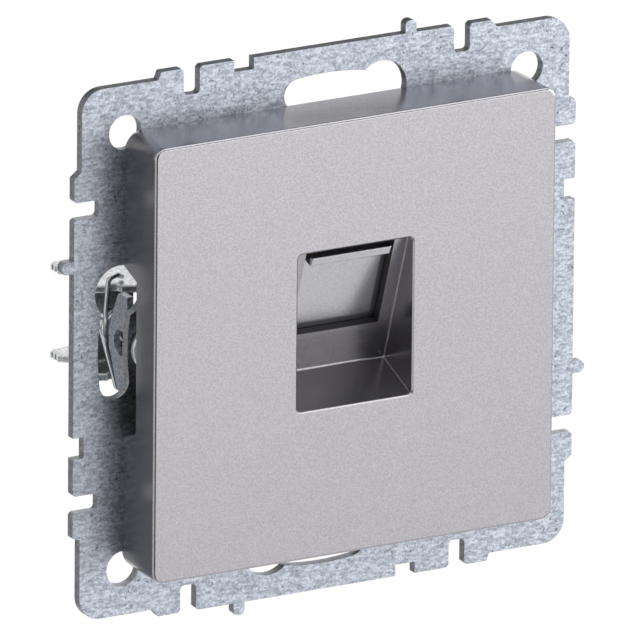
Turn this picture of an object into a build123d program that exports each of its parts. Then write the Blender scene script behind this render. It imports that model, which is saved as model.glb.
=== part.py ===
from build123d import *
import os
from math import atan2, cos, degrees, pi, radians, sin, tan

# Ethernet wall socket for a 60 mm round wall box, without its outer frame.
# Frame: X to the right, Y into the wall, Z up. The origin is the centre of the
# back of the support plate, which is the face that lies on the wall.

# Support plate, one piece of galvanised sheet
PLATE_SIDE = 71.0
PLATE_THICKNESS = 1.3
CORNER_STEP = 1.0
CORNER_RADIUS = 3.0
STEP_START = 23.8
STEP_END = 24.1
STEEP_RUN = 0.4
GENTLE_RUN = 0.8
NOTCH_PLACE = 19.1
NOTCH_WIDTH = 2.2
NOTCH_DEPTH = 3.5
NOTCH_FLOOR_RADIUS = 0.5
NOTCH_MOUTH = 0.35
DENT_PLACE = 11.75
DENT_WIDTH = 2.7
DENT_DEPTH = 1.5
NUB_PLACE = 11.85
NUB_WIDTH = 1.6
NUB_HEIGHT = 1.65
CORNER_HOLE_PITCH = 56.8
CORNER_HOLE_DIAMETER = 4.5
FIXING_PITCH = 60.0
SLOT_WIDTH = 4.1
SLOT_TAIL_ANGLE = 7.6
SLOT_HEAD_ANGLE = 15.0
SLOT_HEAD_DIAMETER = 7.0
WINDOW_WIDTH = 40.0
WINDOW_HEIGHT = 48.0
WINDOW_RADIUS = 2.0

# Tongues bent back beside the two side slots
TONGUE_FACE = 27.3
TONGUE_THICKNESS = 0.9
TONGUE_HEIGHT = 12.8
TONGUE_DEPTH = 4.75
TONGUE_END_DEPTH = 2.3
TONGUE_HOLE_DIAMETER = 3.3
TONGUE_HOLE_DEPTH = 1.8

# Cover, a painted plastic shell
COVER_BASE_SIDE = 57.0
COVER_FACE_SIDE = 56.6
COVER_HEIGHT = 7.8
COVER_BASE_RADIUS = 2.6
COVER_FACE_RADIUS = 1.5
COVER_EDGE_RADIUS = 0.35
COVER_EDGE_STEPS = 3
COVER_WALL = 1.8
COVER_FRONT_WALL = 1.4
SIDE_NOTCH_HEIGHT = 3.2
SIDE_NOTCH_BASE = 22.4
SIDE_NOTCH_TOP = 19.8
LEG_PLACE = 15.0
LEG_WIDTH = 8.0
LEG_THICKNESS = 1.6
LEG_HOOK = 0.7
LEG_HOOK_LENGTH = 1.6

# Recess in the cover, a wedge with a leaning back wall
OPENING_WIDTH = 16.3
OPENING_TOP = 11.65
OPENING_BOTTOM = -8.9
OPENING_RADIUS = 0.6
OPENING_RIM = 0.2
RECESS_DEPTH = 7.35
RECESS_LIP = 1.25
RECESS_RADIUS = 0.2
LEAN = 19.0
RECESS_WALL = 1.2
LEAN_WALL = 1.1
PORT_WINDOW_WIDTH = 12.5
PORT_WINDOW_START = 0.3
PORT_WINDOW_LENGTH = 12.8

# Sliding shutter behind the leaning wall, its guide and its spring
SHUTTER_THICKNESS = 1.2
SHUTTER_OVERLAP = 1.1
SHUTTER_TRAVEL = 10.5
SHUTTER_GAP = 0.1
LEDGE_WIDTH = 11.5
LEDGE_HEIGHT = 1.1
LEDGE_PLACE = 1.0
LEDGE_REACH = 0.57
GUIDE_WIDTH = 18.8
GUIDE_BACK = 1.0
GUIDE_FLOOR = 1.2
GUIDE_LIP = 0.8
SPRING_WIRE = 0.3
SPRING_RADIUS = 0.75
SPRING_TURNS = 5
WIRE_SIDES = 6

# Carrier, the plastic body that holds the jack in the plate
CARRIER_SIDE_ROOM = 0.8
CARRIER_CLAW_ROOM = 2.0
CARRIER_WALL = 1.6
CARRIER_DEPTH = 12.0
CARRIER_FRONT = 1.3
CARRIER_RADIUS = 1.2
CARRIER_LEAD_IN = 0.6
SEAT_RIB_COUNT = 3
SEAT_RIB_PITCH = 9.0
SEAT_RIB_THICKNESS = 1.2
SEAT_RIB_SETBACK = 1.0
SEAT_THICKNESS = 3.0
SEAT_PLACE = 6.2
LIP_WIDTH = 24.0
LIP_REACH = 1.8
CATCH_WIDTH = 8.0
CATCH_REACH = 0.9
CATCH_LENGTH = 1.6
FIT = 0.15
SNAP_FIT = 0.4

# Eight-way jack
JACK_WIDTH = 14.5
JACK_HEIGHT = 16.2
JACK_DEPTH = 14.4
JACK_FLANGE = 0.7
PORT_WIDTH = 11.8
PORT_HEIGHT = 6.8
PORT_DEPTH = 12.6
PORT_RAISE = 1.1
LATCH_WIDTH = 6.2
LATCH_HEIGHT = 1.7
CONTACT_COUNT = 8
CONTACT_PITCH = 1.02
CONTACT_THICKNESS = 0.35
COMB_THICKNESS = 1.5
COMB_SETBACK = 3.0
CONTACT_LEVEL = 0.5
CONTACT_NOSE = 4.2
CONTACT_DROP = 1.0
CONTACT_DIP = 3.2
CONTACT_REACH = 10.1
CONTACT_BEND = 0.35
JACK_LUG_WIDTH = 6.0
JACK_LUG_LENGTH = 2.4
BOARD_THICKNESS = 1.2
BOARD_WIDTH = 14.0
BOARD_HEIGHT = 13.6
PIN_HOLE = 0.7
BLOCK_WIDTH = 4.6
BLOCK_GAP = 4.2
BLOCK_LENGTH = 6.2
TERMINAL_PITCH = 3.4
TERMINAL_SLOT = 0.9
TERMINAL_THICKNESS = 0.5
CAP_WALL = 0.9
CAP_LENGTH = 4.6

# Spreading claws with their screws and return springs
SCREW_PLACE = 24.2
SCREW_DIAMETER = 2.9
SCREW_LENGTH = 18.0
SCREW_HEAD_DIAMETER = 6.8
SCREW_HEAD_HEIGHT = 2.0
SCREW_HEAD_GAP = 0.25
SCREW_SLOT_LENGTH = 4.3
SCREW_SLOT_WIDTH = 3.5
SCREW_SLOT_SHIFT = 0.4
PIVOT_PLACE = 21.0
PIVOT_DEPTH = 2.0
PIVOT_BOSS_RADIUS = 1.5
PIVOT_PIN_RADIUS = 1.0
PIVOT_CLEARANCE = 0.08
CLAW_SHEET = 1.0
CLAW_INNER_HEIGHT = 10.5
CLAW_WEB_DEPTH = 10.5
CLAW_EAR_RADIUS = 1.8
CLAW_REACH = 28.6
CLAW_LENGTH = 17.8
CLAW_TIP = 2.6
CLAW_KNEE_DEPTH = 6.5
CLAW_NOTCH_PLACE = 26.15
CLAW_NOTCH_DEPTH = 5.4
CLAW_NOTCH_RADIUS = 0.75
CLAW_TEETH = 3
COLLAR_RADIUS = 2.5
COLLAR_LENGTH = 2.4
CLAW_WIRE = 0.65
CLAW_COIL_RADIUS = 2.45
CLAW_COIL_TURNS = 2.0
CLAW_COIL_DEPTH = 6.6

# Places worked out from the sizes above
ROOM_BETWEEN_LEGS = WINDOW_WIDTH - 2 * (SNAP_FIT + LEG_THICKNESS + CARRIER_SIDE_ROOM)
ROOM_BETWEEN_CLAWS = 2 * (PIVOT_PLACE - CLAW_EAR_RADIUS - CARRIER_CLAW_ROOM)
CARRIER_WIDTH = min(ROOM_BETWEEN_LEGS, ROOM_BETWEEN_CLAWS)
THROUGH = 2 * PLATE_SIDE
HALF = PLATE_SIDE / 2
STEPPED_HALF = HALF - CORNER_STEP
PLATE_FRONT = -PLATE_THICKNESS
COVER_FRONT = PLATE_FRONT - COVER_HEIGHT
COVER_INSIDE = COVER_FRONT + COVER_FRONT_WALL
LEAN_TAN = tan(radians(LEAN))
LEAN_LENGTH = (RECESS_DEPTH - RECESS_LIP) / sin(radians(LEAN))
RECESS_DEEP_Z = OPENING_TOP - (RECESS_DEPTH - RECESS_LIP) / LEAN_TAN
FRONT_OF_PANEL = -LEAN_WALL - SHUTTER_GAP
BACK_OF_PANEL = FRONT_OF_PANEL - SHUTTER_THICKNESS
GUIDE_FRONT = -LEAN_WALL
GUIDE_INNER_BACK = BACK_OF_PANEL - FIT
GUIDE_OUTER_BACK = GUIDE_INNER_BACK - GUIDE_BACK
JACK_FACE = GUIDE_OUTER_BACK - FIT
JACK_BACK = JACK_FACE - JACK_DEPTH
WINDOW_CENTRE = PORT_WINDOW_START + PORT_WINDOW_LENGTH / 2
PANEL_TOP = WINDOW_CENTRE + 0.5
PANEL_BOTTOM = WINDOW_CENTRE - PORT_WINDOW_START - PORT_WINDOW_LENGTH - SHUTTER_OVERLAP
GUIDE_BOTTOM = PANEL_BOTTOM - SHUTTER_TRAVEL - GUIDE_FLOOR
CHEEK_OUTER = CLAW_INNER_HEIGHT / 2 + CLAW_SHEET

# The port frame lies on the leaning wall at the middle of its window:
# x to the right, y up the slope, z out towards the user.
PORT_PLANE = Plane(
    origin=(
        0,
        COVER_FRONT + RECESS_LIP + WINDOW_CENTRE * sin(radians(LEAN)),
        OPENING_TOP - WINDOW_CENTRE * cos(radians(LEAN)),
    ),
    x_dir=(1, 0, 0),
    z_dir=(0, -cos(radians(LEAN)), -sin(radians(LEAN))),
)


def in_port_frame(shape):
    return PORT_PLANE.location * shape


def block(x0, x1, y0, y1, z0, z1):
    """A box between two corners."""
    centre = ((x0 + x1) / 2, (y0 + y1) / 2, (z0 + z1) / 2)
    return Pos(*centre) * Box(abs(x1 - x0), abs(y1 - y0), abs(z1 - z0))


def wall_sheet(outline, back, thickness):
    """A flat piece parallel to the wall, from a sketch seen from the front."""
    seen = Plane(origin=(0, back, 0), x_dir=(1, 0, 0), z_dir=(0, -1, 0))
    return extrude(seen.location * outline, amount=thickness, dir=(0, -1, 0))


def side_prism(points, x0, x1):
    """A prism along X over an outline of (y, z) points."""
    face = make_face(Polyline(*[(x0, y, z) for y, z in points], close=True))
    return extrude(face, amount=x1 - x0, dir=(1, 0, 0))


def crossing(p, p_angle, q, q_angle):
    """Where two lines in a plane meet, each given by a point and an angle."""
    px, py = cos(p_angle), sin(p_angle)
    qx, qy = cos(q_angle), sin(q_angle)
    along = ((q[0] - p[0]) * qy - (q[1] - p[1]) * qx) / (px * qy - py * qx)
    return (p[0] + along * px, p[1] + along * py)


def half_turn(shape):
    """The same assembly on the other side, turned half round the Y axis."""
    return Rot(0, 180, 0) * shape


def edge_profile():
    """One side of the plate from corner to corner, as points on its top side."""
    notch = NOTCH_WIDTH / 2
    dent = DENT_WIDTH / 2
    floor = HALF - NOTCH_DEPTH
    return [
        (-STEP_START, STEPPED_HALF),
        (-STEP_START + STEEP_RUN, HALF),
        (-NOTCH_PLACE - notch, HALF),
        (-NOTCH_PLACE - notch, floor),
        (-NOTCH_PLACE + notch, floor),
        (-NOTCH_PLACE + notch, HALF),
        (-DENT_PLACE - dent, HALF),
        (-DENT_PLACE - dent, HALF - DENT_DEPTH),
        (-DENT_PLACE + dent, HALF - DENT_DEPTH),
        (-DENT_PLACE + dent, HALF),
        (NOTCH_PLACE - notch, HALF),
        (NOTCH_PLACE - notch, floor),
        (NOTCH_PLACE + notch, floor),
        (NOTCH_PLACE + notch, HALF),
        (STEP_END - GENTLE_RUN, HALF),
        (STEP_END, STEPPED_HALF),
        (STEPPED_HALF, STEPPED_HALF),
    ]


def keyhole_slot():
    """Curved slot round the box's centre with a round head, on the plate's top side."""
    radius = FIXING_PITCH / 2
    tail = radians(90 + SLOT_TAIL_ANGLE)
    head = radians(90 - SLOT_HEAD_ANGLE)
    inner = radius - SLOT_WIDTH / 2
    outer = radius + SLOT_WIDTH / 2
    middle = (tail + head) / 2

    def at(r, angle):
        return (r * cos(angle), r * sin(angle))

    band = make_face(
        [
            ThreePointArc(at(outer, tail), at(outer, middle), at(outer, head)),
            Line(at(outer, head), at(inner, head)),
            ThreePointArc(at(inner, head), at(inner, middle), at(inner, tail)),
            ThreePointArc(at(inner, tail), at(radius, tail + SLOT_WIDTH / 2 / radius), at(outer, tail)),
        ]
    )
    return band + Pos(*at(radius, head)) * Circle(SLOT_HEAD_DIAMETER / 2)


def plate_outline():
    points = []
    for turn in range(4):
        angle = radians(-90 * turn)
        for u, v in edge_profile():
            points.append((u * cos(angle) - v * sin(angle), u * sin(angle) + v * cos(angle)))
    outline = make_face(Polyline(*points, close=True))
    corners = [v for v in outline.vertices() if abs(abs(v.X) - abs(v.Y)) < 0.01]
    outline = fillet(corners, CORNER_RADIUS)
    nub = Pos(NUB_PLACE, HALF + NUB_HEIGHT / 2 - NUB_WIDTH / 2) * RectangleRounded(
        NUB_WIDTH, NUB_HEIGHT + NUB_WIDTH, 0.45 * NUB_WIDTH
    )
    for turn in range(4):
        outline += Rot(0, 0, -90 * turn) * nub
    return outline


def round_small_corners(outline):
    """Takes the sharpness off the notches and tabs of the stamped outline."""
    floor = HALF - NOTCH_DEPTH
    deep = [v for v in outline.vertices() if abs(max(abs(v.X), abs(v.Y)) - floor) < 0.01]
    outline = fillet(deep, NOTCH_FLOOR_RADIUS)
    mouth = [
        v
        for v in outline.vertices()
        if abs(max(abs(v.X), abs(v.Y)) - HALF) < 0.01
        and abs(min(abs(v.X), abs(v.Y)) - NOTCH_PLACE) < NOTCH_WIDTH
    ]
    return chamfer(mouth, NOTCH_MOUTH)


def tongue():
    """The left tongue, bent back beside its slot, with its round hole."""
    half = TONGUE_HEIGHT / 2
    waist = (TONGUE_DEPTH + TONGUE_END_DEPTH) / 2
    top = [(0, half), (TONGUE_END_DEPTH, half), (waist, 0.62 * half), (TONGUE_DEPTH, 0.16 * half)]
    outline = top + [(y, -z) for y, z in reversed(top)]
    solid = side_prism(outline, -TONGUE_FACE, -TONGUE_FACE + TONGUE_THICKNESS)
    back = [e for e in solid.edges().filter_by(Axis.X) if e.center().Y > TONGUE_END_DEPTH - 0.1]
    solid = fillet(back, 0.6)
    hole = Pos(-TONGUE_FACE, TONGUE_HOLE_DEPTH, 0) * Rot(0, 90, 0) * Cylinder(
        TONGUE_HOLE_DIAMETER / 2, 4 * PLATE_THICKNESS
    )
    return solid - hole


def support_plate():
    outline = round_small_corners(plate_outline())
    for turn in range(4):
        outline -= Rot(0, 0, -90 * turn) * keyhole_slot()
    outline -= GridLocations(CORNER_HOLE_PITCH, CORNER_HOLE_PITCH, 2, 2) * Circle(CORNER_HOLE_DIAMETER / 2)
    outline -= RectangleRounded(WINDOW_WIDTH, WINDOW_HEIGHT, WINDOW_RADIUS)
    for side in (-1, 1):
        place = Pos(side * (SCREW_PLACE - SCREW_SLOT_SHIFT), 0)
        outline -= place * SlotOverall(SCREW_SLOT_LENGTH, SCREW_SLOT_WIDTH)
    sheet = wall_sheet(outline, 0, PLATE_THICKNESS)
    left = tongue()
    return sheet + left + half_turn(left)


def recess_outline(extra_front):
    """The hollow wedge seen from the side, as (y, z) points."""
    return [
        (COVER_FRONT - extra_front, OPENING_TOP),
        (COVER_FRONT + RECESS_LIP, OPENING_TOP),
        (COVER_FRONT + RECESS_DEPTH, RECESS_DEEP_Z),
        (COVER_FRONT, OPENING_BOTTOM),
        (COVER_FRONT - extra_front, OPENING_BOTTOM),
    ]


def recess_shell_outline():
    """The same wedge with its walls: thin behind the leaning wall, thicker elsewhere."""
    lean_angle = atan2(RECESS_DEEP_Z - OPENING_TOP, RECESS_DEPTH - RECESS_LIP)
    floor_angle = atan2(OPENING_BOTTOM - RECESS_DEEP_Z, -RECESS_DEPTH)
    roof = OPENING_TOP + RECESS_WALL
    behind = (
        COVER_FRONT + RECESS_LIP - LEAN_WALL * sin(lean_angle),
        OPENING_TOP + LEAN_WALL * cos(lean_angle),
    )
    below = (COVER_FRONT, OPENING_BOTTOM - RECESS_WALL / abs(cos(floor_angle)))
    return [
        (COVER_INSIDE, roof),
        crossing(behind, lean_angle, (COVER_INSIDE, roof), 0),
        crossing(behind, lean_angle, below, floor_angle),
        crossing(below, floor_angle, (COVER_INSIDE, 0), pi / 2),
    ]


def cover_leg():
    """A snap leg at the upper left, which hooks behind the plate's window edge."""
    outer = WINDOW_WIDTH / 2 - SNAP_FIT
    inner = outer - LEG_THICKNESS
    tip = SNAP_FIT / 4 + LEG_HOOK_LENGTH
    stem = block(-outer, -inner, COVER_INSIDE - 0.2, tip, LEG_PLACE - LEG_WIDTH / 2, LEG_PLACE + LEG_WIDTH / 2)
    catch = WINDOW_WIDTH / 2 + LEG_HOOK
    hook = extrude(
        make_face(
            Polyline(
                (-outer, SNAP_FIT / 4, LEG_PLACE - LEG_WIDTH / 2),
                (-catch, SNAP_FIT / 4, LEG_PLACE - LEG_WIDTH / 2),
                (-outer, tip, LEG_PLACE - LEG_WIDTH / 2),
                close=True,
            )
        ),
        amount=LEG_WIDTH,
        dir=(0, 0, 1),
    )
    return stem + hook


def cover():
    back = Plane(origin=(0, PLATE_FRONT, 0), x_dir=(1, 0, 0), z_dir=(0, -1, 0))
    sections = [back.location * RectangleRounded(COVER_BASE_SIDE, COVER_BASE_SIDE, COVER_BASE_RADIUS)]
    for step in range(COVER_EDGE_STEPS + 1):
        angle = radians(90 * step / COVER_EDGE_STEPS)
        inset = COVER_EDGE_RADIUS * (1 - cos(angle))
        level = back.offset(COVER_HEIGHT - COVER_EDGE_RADIUS * (1 - sin(angle)))
        side = COVER_FACE_SIDE - 2 * inset
        sections.append(level.location * RectangleRounded(side, side, COVER_FACE_RADIUS - inset))
    outside = loft(sections, ruled=True)
    inner_side = COVER_BASE_SIDE - 2 * COVER_WALL
    hollow = RectangleRounded(inner_side, inner_side, 0.5 * COVER_BASE_RADIUS)
    shell = outside - wall_sheet(hollow, PLATE_FRONT, COVER_HEIGHT - COVER_FRONT_WALL)
    half_width = OPENING_WIDTH / 2
    shell += side_prism(recess_shell_outline(), -half_width - RECESS_WALL, half_width + RECESS_WALL)
    wedge = side_prism(recess_outline(1), -half_width, half_width)
    corners = [e for e in wedge.edges().filter_by(Axis.Y) if e.center().Y < COVER_FRONT + RECESS_LIP]
    wedge = fillet(corners, OPENING_RADIUS)
    deep = [
        e
        for e in wedge.edges()
        if e.center().Y > COVER_FRONT + RECESS_LIP / 2 and e.center().Z < OPENING_TOP - RECESS_WALL
    ]
    wedge = fillet(deep, RECESS_RADIUS)
    shell -= wedge
    front_edges = shell.faces().sort_by(Axis.Y)[0].inner_wires()[0].edges()
    shell = chamfer(front_edges, OPENING_RIM)
    window = block(
        -PORT_WINDOW_WIDTH / 2,
        PORT_WINDOW_WIDTH / 2,
        -PORT_WINDOW_LENGTH / 2,
        PORT_WINDOW_LENGTH / 2,
        -2 * LEAN_WALL,
        LEAN_WALL,
    )
    shell -= in_port_frame(window)
    notch = make_face(
        Polyline(
            (-COVER_BASE_SIDE / 2 - 1, PLATE_FRONT, SIDE_NOTCH_BASE / 2),
            (-COVER_BASE_SIDE / 2 - 1, PLATE_FRONT - SIDE_NOTCH_HEIGHT, SIDE_NOTCH_TOP / 2),
            (-COVER_BASE_SIDE / 2 - 1, PLATE_FRONT - SIDE_NOTCH_HEIGHT, -SIDE_NOTCH_TOP / 2),
            (-COVER_BASE_SIDE / 2 - 1, PLATE_FRONT, -SIDE_NOTCH_BASE / 2),
            close=True,
        )
    )
    left_notch = extrude(notch, amount=COVER_WALL + 1.5, dir=(1, 0, 0))
    shell -= left_notch
    shell -= half_turn(left_notch)
    leg = cover_leg()
    lower_leg = mirror(leg, about=Plane.XY)
    for part in (leg, lower_leg, half_turn(leg), half_turn(lower_leg)):
        shell += part
    return shell


def shutter():
    """Panel with a finger ledge along its top; it slides down the slope."""
    half = shutter_half_width()
    panel = block(-half, half, PANEL_BOTTOM, PANEL_TOP, BACK_OF_PANEL, FRONT_OF_PANEL)
    ledge_top = WINDOW_CENTRE - LEDGE_PLACE
    ledge = block(
        -LEDGE_WIDTH / 2,
        LEDGE_WIDTH / 2,
        ledge_top - LEDGE_HEIGHT,
        ledge_top,
        FRONT_OF_PANEL - 0.2,
        LEDGE_REACH,
    )
    tips = ledge.edges().filter_by(Axis.Y)
    ledge = fillet([e for e in tips if e.center().Z > 0], 0.35)
    return in_port_frame(panel + ledge)


def shutter_half_width():
    return GUIDE_WIDTH / 2 - GUIDE_LIP - RECESS_WALL + 0.25


def shutter_guide():
    """Channel clipped behind the leaning wall, in which the shutter slides."""
    half = GUIDE_WIDTH / 2
    run = shutter_half_width() + FIT
    top = PANEL_TOP - 0.3
    body = block(-half, half, GUIDE_BOTTOM, top, GUIDE_OUTER_BACK, GUIDE_FRONT)
    body -= block(-run, run, GUIDE_BOTTOM + GUIDE_FLOOR, top + 1, GUIDE_INNER_BACK, GUIDE_FRONT + 1)
    body -= block(
        -PORT_WINDOW_WIDTH / 2,
        PORT_WINDOW_WIDTH / 2,
        -PORT_WINDOW_LENGTH / 2 + 0.9,
        top + 1,
        GUIDE_OUTER_BACK - 1,
        GUIDE_FRONT,
    )
    pocket = SPRING_RADIUS + SPRING_WIRE / 2 + FIT
    body -= block(
        -pocket,
        pocket,
        GUIDE_BOTTOM + GUIDE_FLOOR,
        PANEL_BOTTOM + 0.5,
        spring_depth() - pocket,
        GUIDE_FRONT,
    )
    lip_top = WINDOW_CENTRE - LEAN_LENGTH - 2.6
    for side in (-1, 1):
        body += block(
            side * (run - GUIDE_LIP),
            side * half,
            GUIDE_BOTTOM,
            lip_top,
            GUIDE_FRONT,
            GUIDE_FRONT + GUIDE_LIP,
        )
    return in_port_frame(body)


def spring_depth():
    return FRONT_OF_PANEL - SPRING_RADIUS - SPRING_WIRE / 2


def shutter_spring():
    """Compression spring between the guide's floor and the shutter's lower edge."""
    length = SHUTTER_TRAVEL - 2 * 0.05 - SPRING_WIRE
    pitch = length / SPRING_TURNS
    path = Helix(pitch=pitch, height=length, radius=SPRING_RADIUS)
    section = Plane(origin=path @ 0, z_dir=path % 0).location * Rectangle(SPRING_WIRE, SPRING_WIRE)
    coil = sweep(section, path=path, is_frenet=True)
    start = GUIDE_BOTTOM + GUIDE_FLOOR + 0.05 + SPRING_WIRE / 2
    return in_port_frame(Pos(0, start, spring_depth()) * Rot(-90, 0, 0) * coil)


def pivot_boss():
    """Left pivot on the carrier's side: a rib, a round boss and two pins."""
    height = CLAW_INNER_HEIGHT - 2 * FIT
    rib = block(
        -PIVOT_PLACE,
        -CARRIER_WIDTH / 2 + 0.5,
        PIVOT_DEPTH - PIVOT_BOSS_RADIUS,
        PIVOT_DEPTH + PIVOT_BOSS_RADIUS,
        -height / 2,
        height / 2,
    )
    place = Pos(-PIVOT_PLACE, PIVOT_DEPTH, 0)
    boss = place * Cylinder(PIVOT_BOSS_RADIUS, height)
    pins = place * Cylinder(PIVOT_PIN_RADIUS, 2 * CHEEK_OUTER + 0.6)
    return rib + boss + pins


def seat_ribs(room):
    """Upright ribs that stiffen the slanted seat below the jack, within the open back."""
    rib_top = -JACK_HEIGHT / 2 - JACK_FLANGE - CARRIER_LEAD_IN
    ribs = []
    for i in range(SEAT_RIB_COUNT):
        x = (i - (SEAT_RIB_COUNT - 1) / 2) * SEAT_RIB_PITCH
        half = SEAT_RIB_THICKNESS / 2
        below_jack = in_port_frame(block(x - half, x + half, -THROUGH, rib_top, -THROUGH, THROUGH))
        sunk = block(x - half, x + half, -THROUGH, CARRIER_DEPTH - SEAT_RIB_SETBACK, -THROUGH, THROUGH)
        ribs.append(below_jack & sunk & room)
    return ribs


def carrier():
    height = WINDOW_HEIGHT - 2 * SNAP_FIT
    front = PLATE_FRONT - CARRIER_FRONT
    body = block(-CARRIER_WIDTH / 2, CARRIER_WIDTH / 2, front, CARRIER_DEPTH, -height / 2, height / 2)
    body = fillet(body.edges().filter_by(Axis.Y), CARRIER_RADIUS)
    body = chamfer(body.faces().sort_by(Axis.Y)[-1].edges(), CARRIER_LEAD_IN)
    inner_width = CARRIER_WIDTH / 2 - CARRIER_WALL
    inner_height = height / 2 - CARRIER_WALL
    seat_front = JACK_FACE - SEAT_PLACE + SEAT_THICKNESS
    ahead = in_port_frame(block(-THROUGH, THROUGH, -THROUGH, THROUGH, seat_front, THROUGH))
    behind = in_port_frame(
        block(-THROUGH, THROUGH, -THROUGH, THROUGH, -THROUGH, seat_front - SEAT_THICKNESS)
    )
    inside = block(-inner_width, inner_width, front - 1, CARRIER_DEPTH + 1, -inner_height, inner_height)
    rear = block(
        -inner_width,
        inner_width,
        front + CARRIER_WALL,
        CARRIER_DEPTH + 1,
        -inner_height,
        inner_height,
    )
    body -= inside & ahead
    body -= rear & behind
    body += seat_ribs(rear & behind)
    seat = block(
        -JACK_WIDTH / 2 - FIT,
        JACK_WIDTH / 2 + FIT,
        -JACK_HEIGHT / 2 - FIT,
        JACK_HEIGHT / 2 + FIT,
        -THROUGH,
        THROUGH,
    )
    body -= in_port_frame(seat)
    flange_room = block(
        -JACK_WIDTH / 2 - JACK_FLANGE - FIT,
        JACK_WIDTH / 2 + JACK_FLANGE + FIT,
        -JACK_HEIGHT / 2 - JACK_FLANGE - FIT,
        JACK_HEIGHT / 2 + JACK_FLANGE + FIT,
        seat_front,
        THROUGH,
    )
    body -= in_port_frame(flange_room)
    for side in (-1, 1):
        edge = side * height / 2
        body += block(-LIP_WIDTH / 2, LIP_WIDTH / 2, front, PLATE_FRONT, edge - side, edge + side * LIP_REACH)
        body += block(
            -CATCH_WIDTH / 2,
            CATCH_WIDTH / 2,
            SNAP_FIT / 4,
            SNAP_FIT / 4 + CATCH_LENGTH,
            edge - side,
            edge + side * CATCH_REACH,
        )
    pivot = pivot_boss()
    body += pivot
    body += half_turn(pivot)
    return body


def jack_housing():
    half_w = JACK_WIDTH / 2
    half_h = JACK_HEIGHT / 2
    body = block(-half_w, half_w, -half_h, half_h, JACK_BACK, JACK_FACE)
    flange_depth = SEAT_PLACE - SEAT_THICKNESS
    body += block(
        -half_w - JACK_FLANGE,
        half_w + JACK_FLANGE,
        -half_h - JACK_FLANGE,
        half_h + JACK_FLANGE,
        JACK_FACE - flange_depth,
        JACK_FACE,
    )
    lug_front = JACK_FACE - SEAT_PLACE - FIT
    for side in (-1, 1):
        lug = Polyline(
            (-JACK_LUG_WIDTH / 2, side * half_h, lug_front),
            (-JACK_LUG_WIDTH / 2, side * (half_h + JACK_FLANGE), lug_front),
            (-JACK_LUG_WIDTH / 2, side * half_h, lug_front - JACK_LUG_LENGTH),
            close=True,
        )
        body += extrude(make_face(lug), amount=JACK_LUG_WIDTH, dir=(1, 0, 0))
    port_top = PORT_RAISE + PORT_HEIGHT / 2
    port_bottom = PORT_RAISE - PORT_HEIGHT / 2
    half_port = PORT_WIDTH / 2
    body -= block(-half_port, half_port, port_bottom, port_top, JACK_FACE - PORT_DEPTH, JACK_FACE + 1)
    body -= block(
        -LATCH_WIDTH / 2,
        LATCH_WIDTH / 2,
        port_bottom - LATCH_HEIGHT,
        port_bottom,
        JACK_FACE - 0.75 * PORT_DEPTH,
        JACK_FACE + 1,
    )
    body -= block(
        -comb_half_width() - FIT,
        comb_half_width() + FIT,
        port_top,
        port_top + COMB_THICKNESS + FIT,
        JACK_BACK - 1,
        JACK_FACE - COMB_SETBACK,
    )
    return in_port_frame(body)


def comb_half_width():
    return (CONTACT_COUNT + 1) * CONTACT_PITCH / 2


def contact_comb():
    """Insert that carries the eight contacts along the top of the port."""
    top = PORT_RAISE + PORT_HEIGHT / 2 + COMB_THICKNESS
    low = PORT_RAISE + PORT_HEIGHT / 2
    half = comb_half_width()
    bar = block(-half, half, low, top, JACK_BACK + FIT, JACK_FACE - COMB_SETBACK - FIT)
    slot = CONTACT_THICKNESS + 2 * 0.05
    for x in contact_places():
        bar -= block(x - slot / 2, x + slot / 2, low - 1, low + 1.5 * CONTACT_LEVEL, JACK_BACK - 1, JACK_FACE)
    return in_port_frame(bar)


def contact_places():
    return [(i - (CONTACT_COUNT - 1) / 2) * CONTACT_PITCH for i in range(CONTACT_COUNT)]


def contact(x):
    """A spring contact: along the comb, round a bend at the front, back into the port."""
    low = PORT_RAISE + PORT_HEIGHT / 2
    wire = CONTACT_THICKNESS
    level = low + CONTACT_LEVEL
    nose = JACK_FACE - CONTACT_NOSE
    path = FilletPolyline(
        (x, level, JACK_BACK - BOARD_THICKNESS),
        (x, level, nose),
        (x, level - CONTACT_DROP, nose),
        (x, low - CONTACT_DIP, JACK_FACE - CONTACT_REACH),
        radius=CONTACT_BEND,
    )
    section = Plane(origin=path @ 0, z_dir=path % 0).location * Rectangle(wire, wire)
    return in_port_frame(sweep(section, path=path))


def circuit_board():
    board = block(
        -BOARD_WIDTH / 2,
        BOARD_WIDTH / 2,
        -BOARD_HEIGHT / 2,
        BOARD_HEIGHT / 2,
        JACK_BACK - BOARD_THICKNESS,
        JACK_BACK,
    )
    level = PORT_RAISE + PORT_HEIGHT / 2 + CONTACT_LEVEL
    pins = [(x, level) for x in contact_places()]
    pins += [(side * block_centre(), y) for side in (-1, 1) for y in terminal_places()]
    for x, y in pins:
        board -= Pos(x, y, JACK_BACK) * Box(PIN_HOLE, PIN_HOLE, 4 * BOARD_THICKNESS)
    return in_port_frame(board)


def block_centre():
    return (BLOCK_GAP + BLOCK_WIDTH) / 2


def terminal_places():
    return [(i - 1.5) * TERMINAL_PITCH for i in range(4)]


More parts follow.
